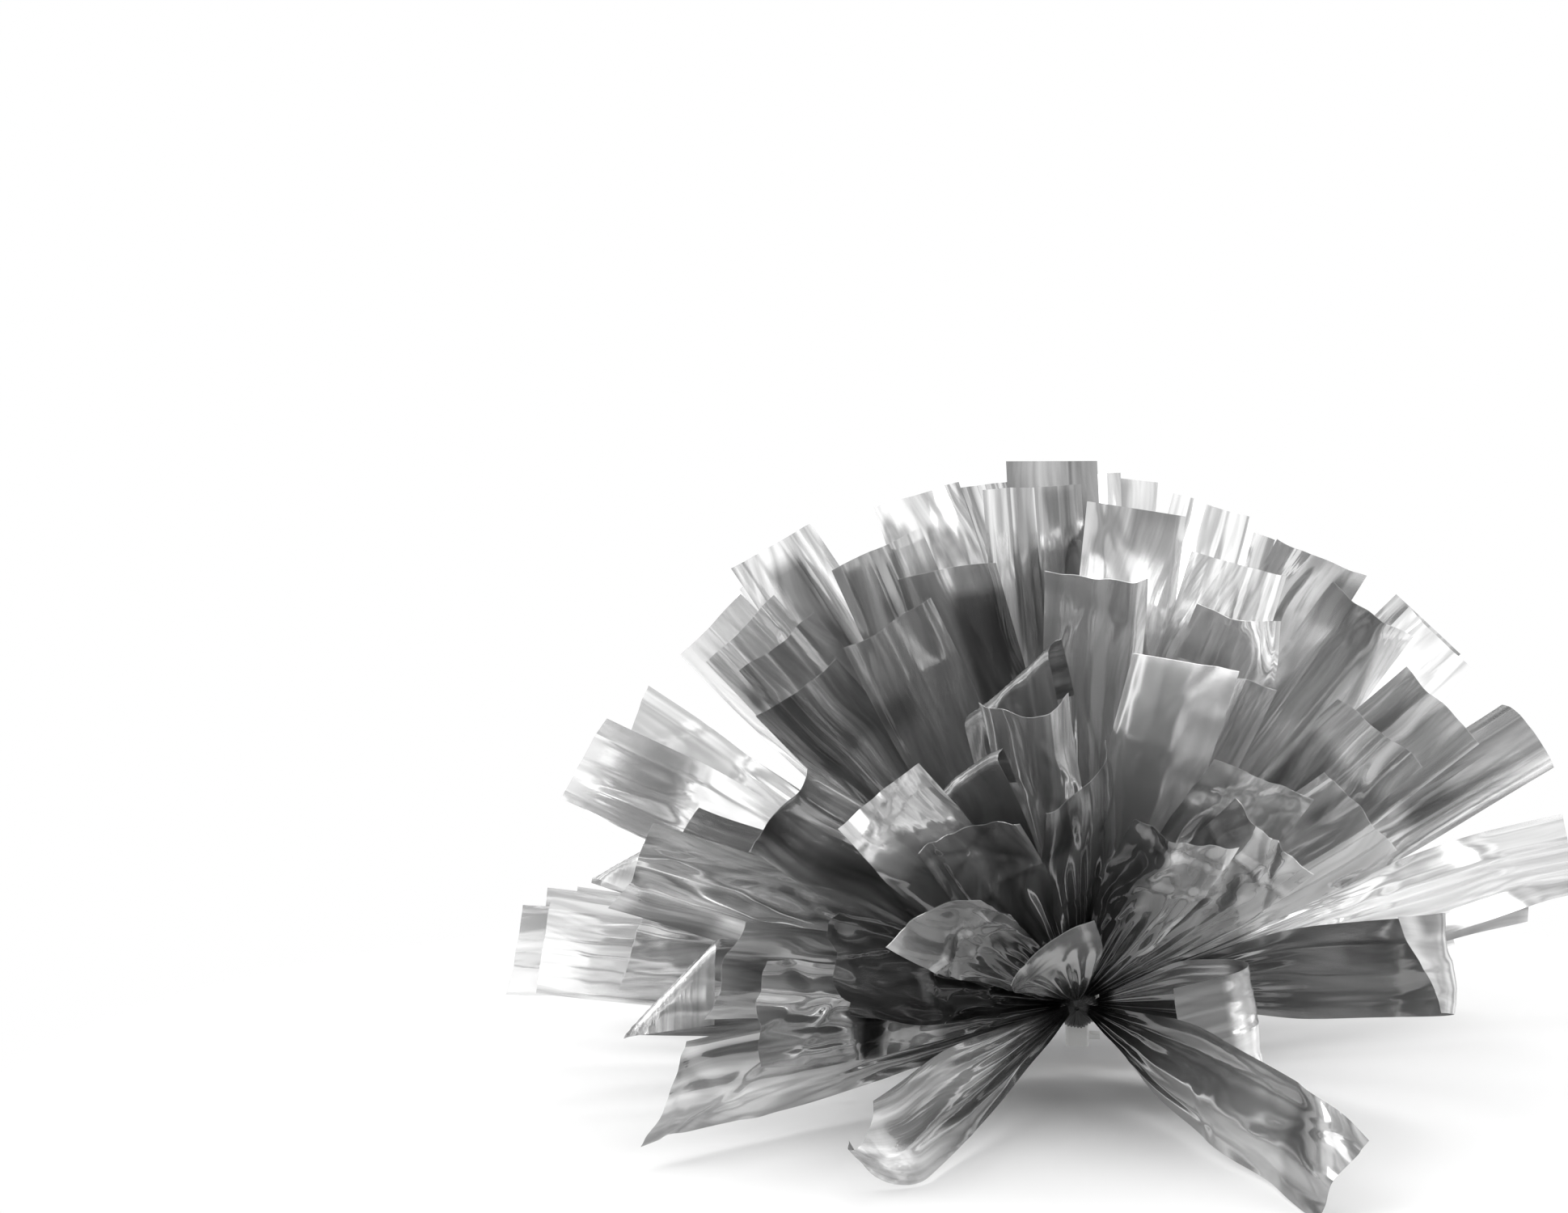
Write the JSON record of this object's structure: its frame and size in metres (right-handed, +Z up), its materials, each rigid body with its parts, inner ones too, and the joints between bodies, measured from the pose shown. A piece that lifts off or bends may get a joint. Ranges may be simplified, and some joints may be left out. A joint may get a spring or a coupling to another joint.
{
  "type": "cheer pom pom",
  "caption": "Hand-held cheer pom pom: a half-ball spray of wide metallised film streamers, cable-tied round a dowel that runs into a hollow baton grip.",
  "frame": {"origin": "middle of the baton grip's length, on its axis", "axes": "+Y back along the grip away from the spray, +Z up, +X to the right of someone who faces the spray"},
  "size_m": [0.2946, 0.2636, 0.1718],
  "materials": {
    "metallised_film": "metallised mirror film with lengthwise crinkles",
    "nylon_tie": "pale satin nylon",
    "grip_plastic": "moulded light grey with a soft gloss",
    "wood_dowel": "bare birch",
    "steel_pin": "plain ground pin"
  },
  "bodies": {
    "grip": {"dowel": "wood_dowel", "grip_tube": "grip_plastic", "front_bush": "grip_plastic", "rear_bush": "grip_plastic", "end_cap": "grip_plastic", "cross_pin": "steel_pin", "cable_tie": "nylon_tie", "pinched_film": "metallised_film"},
    "left_bundle": {"streamer_left_1": "metallised_film", "streamer_left_2": "metallised_film", "streamer_left_3": "metallised_film", "streamer_left_4": "metallised_film", "streamer_left_5": "metallised_film"},
    "upper_left_bundle": {"streamer_upper_left_1": "metallised_film", "streamer_upper_left_2": "metallised_film", "streamer_upper_left_3": "metallised_film", "streamer_upper_left_4": "metallised_film", "streamer_upper_left_5": "metallised_film", "streamer_upper_left_6": "metallised_film"},
    "high_left_bundle": {"streamer_high_left_1": "metallised_film", "streamer_high_left_2": "metallised_film", "streamer_high_left_3": "metallised_film", "streamer_high_left_4": "metallised_film", "streamer_high_left_5": "metallised_film", "streamer_high_left_6": "metallised_film"},
    "top_left_bundle": {"streamer_top_left_1": "metallised_film", "streamer_top_left_2": "metallised_film", "streamer_top_left_3": "metallised_film", "streamer_top_left_4": "metallised_film", "streamer_top_left_5": "metallised_film", "streamer_top_left_6": "metallised_film", "streamer_top_left_7": "metallised_film"},
    "top_bundle": {"streamer_top_1": "metallised_film", "streamer_top_2": "metallised_film", "streamer_top_3": "metallised_film", "streamer_top_4": "metallised_film", "streamer_top_5": "metallised_film", "streamer_top_6": "metallised_film", "streamer_top_7": "metallised_film"},
    "top_right_bundle": {"streamer_top_right_1": "metallised_film", "streamer_top_right_2": "metallised_film", "streamer_top_right_3": "metallised_film", "streamer_top_right_4": "metallised_film", "streamer_top_right_5": "metallised_film", "streamer_top_right_6": "metallised_film", "streamer_top_right_7": "metallised_film"},
    "high_right_bundle": {"streamer_high_right_1": "metallised_film", "streamer_high_right_2": "metallised_film", "streamer_high_right_3": "metallised_film", "streamer_high_right_4": "metallised_film", "streamer_high_right_5": "metallised_film", "streamer_high_right_6": "metallised_film"},
    "right_bundle": {"streamer_right_1": "metallised_film", "streamer_right_2": "metallised_film", "streamer_bowed": "metallised_film"},
    "lower_right_bundle": {"streamer_lower_right_1": "metallised_film", "streamer_curled": "metallised_film"}
  },
  "joints": [
    {"name": "left_swing", "type": "hinge", "parent": "grip", "child": "left_bundle", "pos_m": [0, -0.064, 0], "axis": [0, 1, 0], "range_deg": [-5, 5], "stiffness_Nm_per_rad": 0.6},
    {"name": "upper_left_swing", "type": "hinge", "parent": "grip", "child": "upper_left_bundle", "pos_m": [0, -0.064, 0], "axis": [0, 1, 0], "range_deg": [-5, 5], "stiffness_Nm_per_rad": 0.6},
    {"name": "high_left_swing", "type": "hinge", "parent": "grip", "child": "high_left_bundle", "pos_m": [0, -0.064, 0], "axis": [0, 1, 0], "range_deg": [-5, 5], "stiffness_Nm_per_rad": 0.6},
    {"name": "top_left_swing", "type": "hinge", "parent": "grip", "child": "top_left_bundle", "pos_m": [0, -0.064, 0], "axis": [0, 1, 0], "range_deg": [-5, 5], "stiffness_Nm_per_rad": 0.6},
    {"name": "top_swing", "type": "hinge", "parent": "grip", "child": "top_bundle", "pos_m": [0, -0.064, 0], "axis": [0, 1, 0], "range_deg": [-5, 5], "stiffness_Nm_per_rad": 0.6},
    {"name": "top_right_swing", "type": "hinge", "parent": "grip", "child": "top_right_bundle", "pos_m": [0, -0.064, 0], "axis": [0, 1, 0], "range_deg": [-5, 5], "stiffness_Nm_per_rad": 0.6},
    {"name": "high_right_swing", "type": "hinge", "parent": "grip", "child": "high_right_bundle", "pos_m": [0, -0.064, 0], "axis": [0, 1, 0], "range_deg": [-5, 5], "stiffness_Nm_per_rad": 0.6},
    {"name": "right_swing", "type": "hinge", "parent": "grip", "child": "right_bundle", "pos_m": [0, -0.064, 0], "axis": [0, 1, 0], "range_deg": [-5, 5], "stiffness_Nm_per_rad": 0.6},
    {"name": "lower_right_swing", "type": "hinge", "parent": "grip", "child": "lower_right_bundle", "pos_m": [0, -0.064, 0], "axis": [0, 1, 0], "range_deg": [-5, 5], "stiffness_Nm_per_rad": 0.6}
  ]
}
